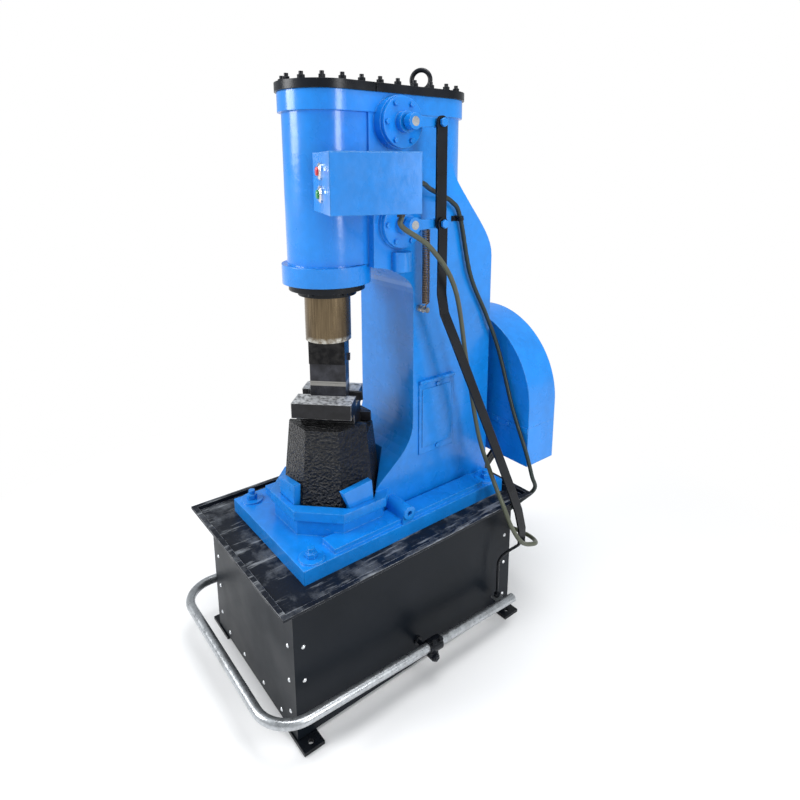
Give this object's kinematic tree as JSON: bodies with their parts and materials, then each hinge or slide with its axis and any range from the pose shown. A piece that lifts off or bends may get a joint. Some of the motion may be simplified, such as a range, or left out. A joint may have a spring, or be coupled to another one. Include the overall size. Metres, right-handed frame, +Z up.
{
  "type": "air forging hammer",
  "caption": "Self-contained air forging hammer: cast C-frame with twin cylinders, ram and dies over an anvil, treadle, belt drive and sheet-steel base.",
  "frame": {"origin": "on the floor, at the centre of the four floor bolts", "axes": "+Z up, -Y to the front (ram side), +X to the right (control side)"},
  "size_m": [0.882, 1.3477, 2.1735],
  "materials": {
    "blue_paint": "gloss",
    "black_paint": "satin",
    "black_sheet": "satin",
    "worn_black": "worn",
    "forged_steel": "matte",
    "black_iron": "rough",
    "die_steel": "ground",
    "ram_steel": "oiled",
    "machined_steel": "machined",
    "galvanised": "galvanised",
    "bronze": "machined",
    "chrome": "polished",
    "spring_steel": "dull",
    "rivet_steel": "bright",
    "belt_rubber": "matte",
    "grey_conduit": "satin",
    "green_conduit": "satin",
    "gland_plastic": "matte",
    "red_plastic": "gloss",
    "green_plastic": "gloss",
    "iron_pulley": "machined"
  },
  "bodies": {
    "frame": {"base_frame": "black_paint", "base_panels": "black_sheet", "base_tray": "worn_black", "panel_rivets": "rivet_steel", "frame_casting": "blue_paint", "front_cylinder_cover": "black_paint", "rear_cylinder_cover": "black_paint", "cover_studs": "black_paint", "lifting_eye": "black_paint", "ram_guide_cover": "black_paint", "ram_guide_bush": "bronze", "guide_cover_bolts": "black_paint", "anvil": "black_iron", "anvil_wedges": "blue_paint", "sow_block": "forged_steel", "die_keys": "die_steel", "lower_die": "die_steel", "casting_studs": "blue_paint", "inspection_cover": "blue_paint", "inspection_bolts": "blue_paint", "valve_covers": "blue_paint", "valve_cover_bolts": "blue_paint", "spring_anchor": "machined_steel", "treadle_pivot_bolts": "black_paint", "control_box": "blue_paint", "control_box_lid": "blue_paint", "button_bezels": "chrome", "cable_glands": "gland_plastic", "motor_shell": "blue_paint", "motor_rails": "black_paint", "crank_bearings": "machined_steel", "belt_guard_upper": "blue_paint", "belt_guard_lower": "blue_paint", "guard_screws": "blue_paint", "drive_belts": "belt_rubber", "power_conduit": "grey_conduit", "motor_conduit": "green_conduit", "conduit_clip": "black_paint", "return_spring": "spring_steel"},
    "ram_body": {"ram": "ram_steel", "upper_die": "die_steel", "upper_die_key": "die_steel"},
    "crank": {"crankshaft": "machined_steel", "crank_pulley": "iron_pulley"},
    "motor": {"motor_rotor": "machined_steel", "motor_pulley": "iron_pulley"},
    "piston": {"compressor_piston": "iron_pulley", "wrist_pin": "machined_steel"},
    "rod": {"connecting_rod": "forged_steel", "crank_pin": "machined_steel"},
    "upper_valve_body": {"upper_valve": "machined_steel", "upper_lever": "blue_paint"},
    "lower_valve_body": {"lower_valve": "machined_steel", "lower_lever": "blue_paint"},
    "link": {"link_bar": "black_paint"},
    "bar": {"operating_bar": "black_paint"},
    "treadle_body": {"treadle": "galvanised", "treadle_collars": "black_paint"},
    "stop_button": {"red_button": "red_plastic"},
    "start_button": {"green_button": "green_plastic"}
  },
  "joints": [
    {"name": "ram_slide", "type": "slide", "parent": "frame", "child": "ram_body", "axis": [0, 0, 1], "range_m": [0, 0.25]},
    {"name": "crank_spin", "type": "hinge", "parent": "frame", "child": "crank", "pos_m": [0, 0.45, 0.9], "axis": [0, 1, 0], "continuous": true},
    {"name": "motor_spin", "type": "hinge", "parent": "frame", "child": "motor", "pos_m": [-0.15, 0.3, 0.25], "axis": [0, 1, 0], "continuous": true},
    {"name": "piston_slide", "type": "slide", "parent": "frame", "child": "piston", "axis": [0, 0, 1], "range_m": [0, 0.19]},
    {"name": "rod_swing", "type": "hinge", "parent": "piston", "child": "rod", "pos_m": [0, 0.29, 1.405], "axis": [0, 1, 0], "range_deg": [-9.11, 9.11]},
    {"name": "treadle_tilt", "type": "hinge", "parent": "frame", "child": "treadle_body", "pos_m": [0, 0, 0.112], "axis": [1, 0, 0], "range_deg": [0, 6], "stiffness_Nm_per_rad": 150, "springref_deg": -6.88, "deforming": ["return_spring"]},
    {"name": "upper_valve_turn", "type": "hinge", "parent": "frame", "child": "upper_valve_body", "pos_m": [0.2, 0.046, 1.961], "axis": [1, 0, 0], "range_deg": [0, 22.5]},
    {"name": "lower_valve_turn", "type": "hinge", "parent": "frame", "child": "lower_valve_body", "pos_m": [0.2, 0.046, 1.632], "axis": [1, 0, 0], "range_deg": [0, 22.5]},
    {"name": "link_swing", "type": "hinge", "parent": "lower_valve_body", "child": "link", "pos_m": [0.258, 0.152, 1.632], "axis": [1, 0, 0], "range_deg": [-22.5, 0]},
    {"name": "bar_swing", "type": "hinge", "parent": "lower_valve_body", "child": "bar", "pos_m": [0.268, 0.152, 1.632], "axis": [1, 0, 0], "range_deg": [-22.5, 0]},
    {"name": "stop_button_press", "type": "slide", "parent": "frame", "child": "stop_button", "axis": [0.3354, 0.9421, 0], "range_m": [0, 0.005], "stiffness_N_per_m": 300},
    {"name": "start_button_press", "type": "slide", "parent": "frame", "child": "start_button", "axis": [0.3354, 0.9421, 0], "range_m": [0, 0.005], "stiffness_N_per_m": 300}
  ],
  "couplings": [
    {"joint": "motor_spin", "follows": "crank_spin", "ratio": 4.946},
    {"joint": "upper_valve_turn", "follows": "treadle_tilt", "ratio": 3.698},
    {"joint": "lower_valve_turn", "follows": "treadle_tilt", "ratio": 3.698},
    {"joint": "link_swing", "follows": "treadle_tilt", "ratio": -3.698},
    {"joint": "bar_swing", "follows": "treadle_tilt", "ratio": -3.698}
  ]
}
